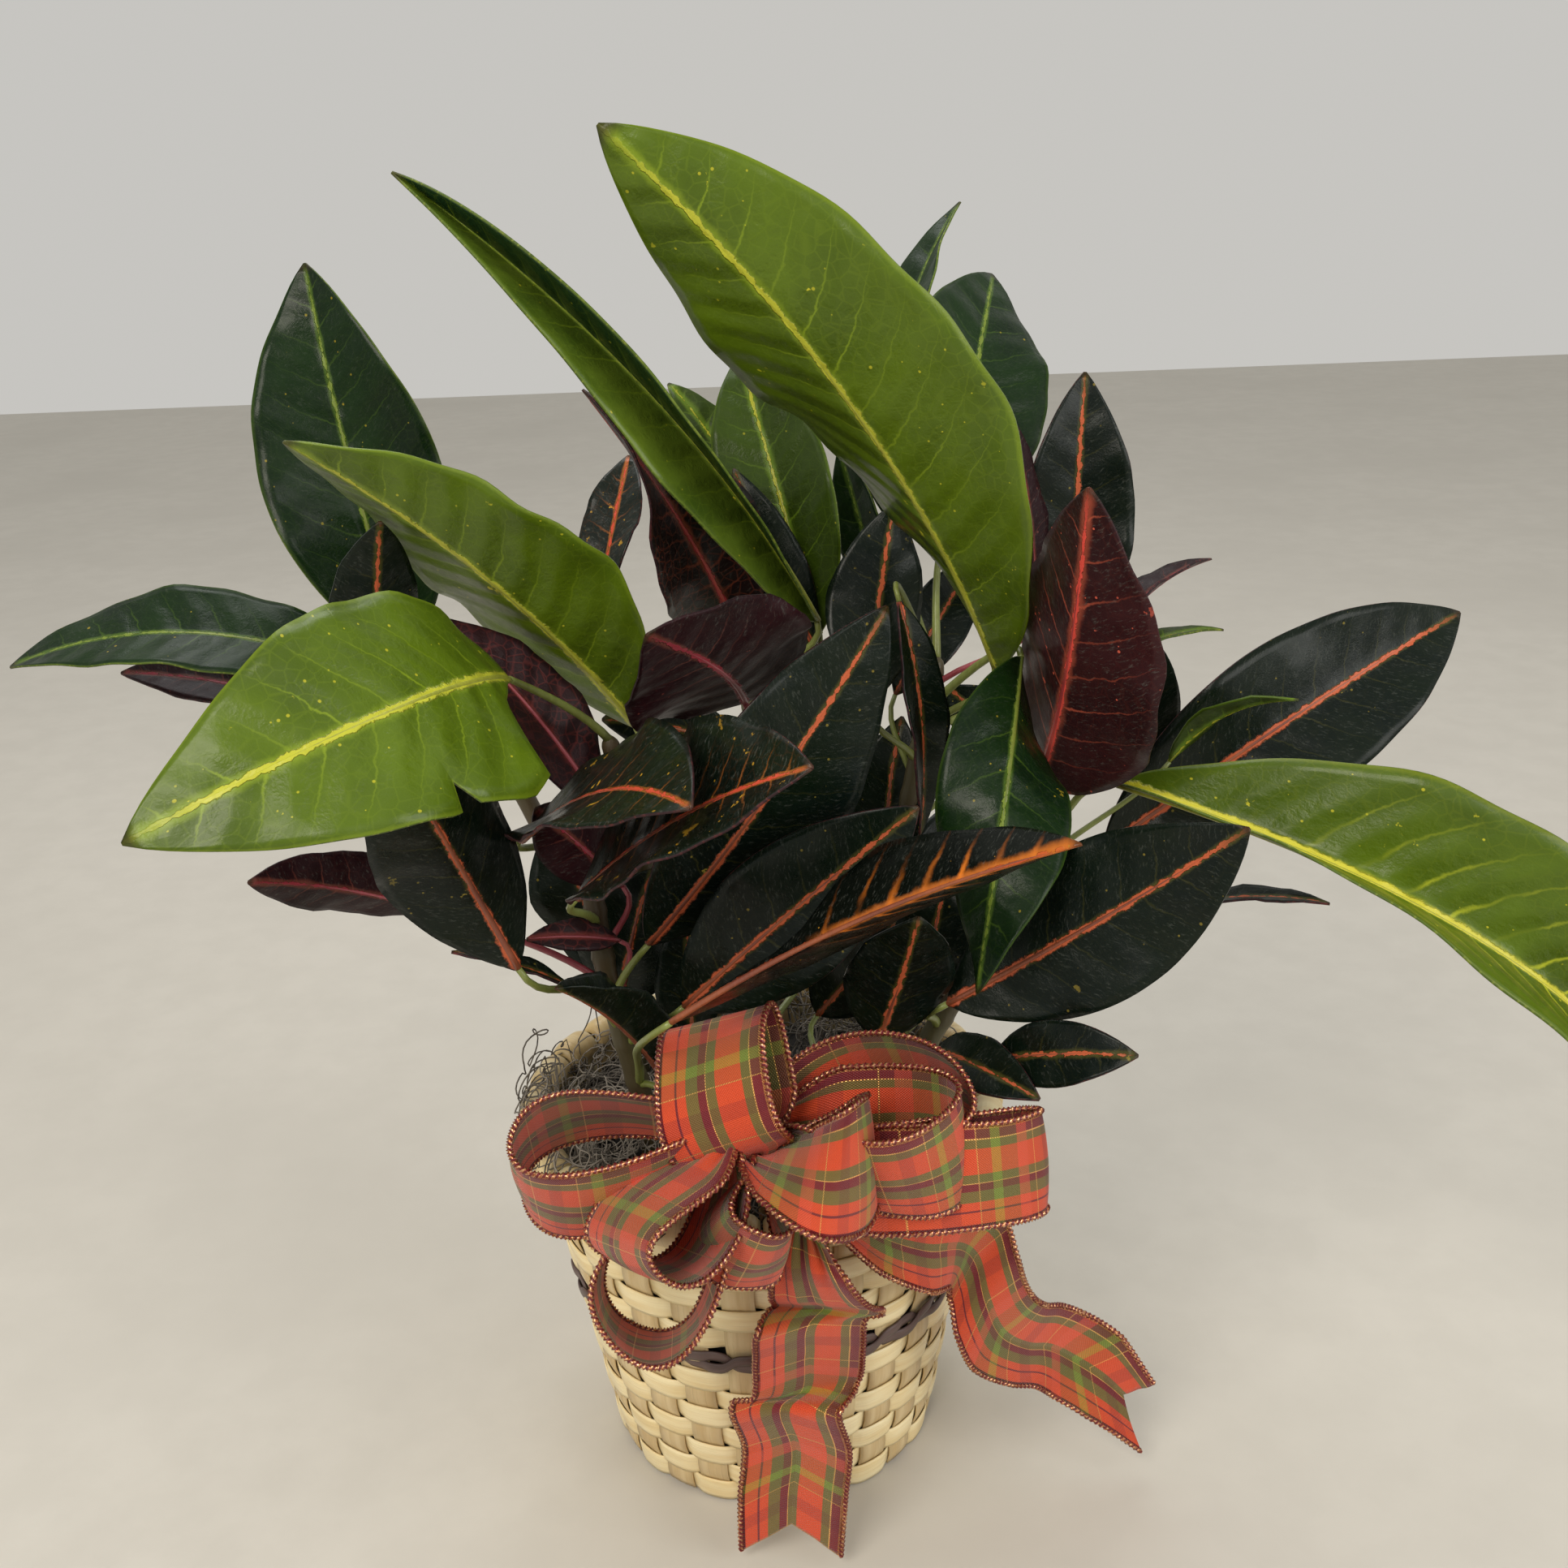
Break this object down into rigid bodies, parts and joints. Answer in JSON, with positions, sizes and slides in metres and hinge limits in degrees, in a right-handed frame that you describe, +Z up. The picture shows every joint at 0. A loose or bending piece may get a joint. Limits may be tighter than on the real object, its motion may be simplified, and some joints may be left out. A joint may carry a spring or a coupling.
{
  "type": "potted croton in a basket",
  "caption": "Broad-leaved croton in a grow pot set in a round woven bamboo basket, with moss over the soil and a plaid ribbon bow with two tails on the front.",
  "frame": {"origin": "middle of the basket's flat underside", "axes": "+Z up; -Y towards the side with the bow; +X to the right of one who faces the bow"},
  "size_m": [0.5802, 0.2795, 0.4794],
  "materials": {
    "leaf_green": "waxy leaf, bright to dark green with a yellow midrib and net veins",
    "leaf_dark": "waxy leaf, near black with an orange-red midrib and specks",
    "leaf_burgundy": "waxy leaf, burgundy with a coral midrib",
    "stem": "young bark, green to brown",
    "basket_straw": "split bamboo, pale and slightly shiny",
    "basket_brown": "split bamboo dyed purple-brown",
    "pot": "thin moulded nursery plastic, dark",
    "soil": "damp potting mix",
    "moss": "dry grey curly moss",
    "ribbon": "woven plaid with wired copper edges",
    "pick_wood": "plain sawn stick"
  },
  "bodies": {
    "root": {"basket_base": "basket_straw", "basket_wall": "basket_straw", "basket_dark_strip_a": "basket_brown", "basket_dark_strip_b": "basket_brown", "basket_rim": "basket_straw", "grow_pot": "pot", "soil": "soil", "moss_bed": "moss", "stem_front_left": "stem", "stem_left": "stem", "stem_back_left": "stem", "stem_middle": "stem", "stem_back_right": "stem", "stem_right": "stem", "stem_front_right": "stem", "leaf_green_far_right": "leaf_green", "leaf_green_top": "leaf_green", "leaf_green_folded": "leaf_green", "leaf_green_mid_left": "leaf_green", "leaf_green_back_left": "leaf_green", "leaf_green_front_left": "leaf_green", "leaf_green_far_left": "leaf_green", "leaf_green_back_tip": "leaf_green", "leaf_green_hanging": "leaf_green", "leaf_green_back_right": "leaf_green", "leaf_green_back_middle": "leaf_green", "leaf_green_behind_a": "leaf_green", "leaf_green_behind_b": "leaf_green", "leaf_green_small_right": "leaf_green", "leaf_dark_right_back": "leaf_dark", "leaf_dark_zigzag": "leaf_dark", "leaf_dark_middle": "leaf_dark", "leaf_dark_front_upper": "leaf_dark", "leaf_dark_right_front": "leaf_dark", "leaf_dark_net": "leaf_dark", "leaf_dark_front_speckled": "leaf_dark", "leaf_dark_left_front": "leaf_dark", "leaf_dark_front_lower": "leaf_dark", "leaf_dark_right_top": "leaf_dark", "leaf_dark_twisted": "leaf_dark", "leaf_dark_left_tip": "leaf_dark", "leaf_dark_centre_tip": "leaf_dark", "leaf_dark_curled": "leaf_dark", "leaf_dark_behind_a": "leaf_dark", "leaf_dark_low_middle": "leaf_dark", "leaf_dark_behind_b": "leaf_dark", "leaf_dark_right_shadow": "leaf_dark", "leaf_dark_low_right": "leaf_dark", "leaf_dark_low_stalked": "leaf_dark", "leaf_burgundy_right": "leaf_burgundy", "leaf_burgundy_middle": "leaf_burgundy", "leaf_burgundy_left_under": "leaf_burgundy", "leaf_burgundy_low_left": "leaf_burgundy", "leaf_burgundy_inner": "leaf_burgundy", "ribbon_bow": "ribbon", "bow_pick": "pick_wood", "ribbon_tail_front": "ribbon", "ribbon_tail_side": "ribbon"}
  },
  "joints": []
}
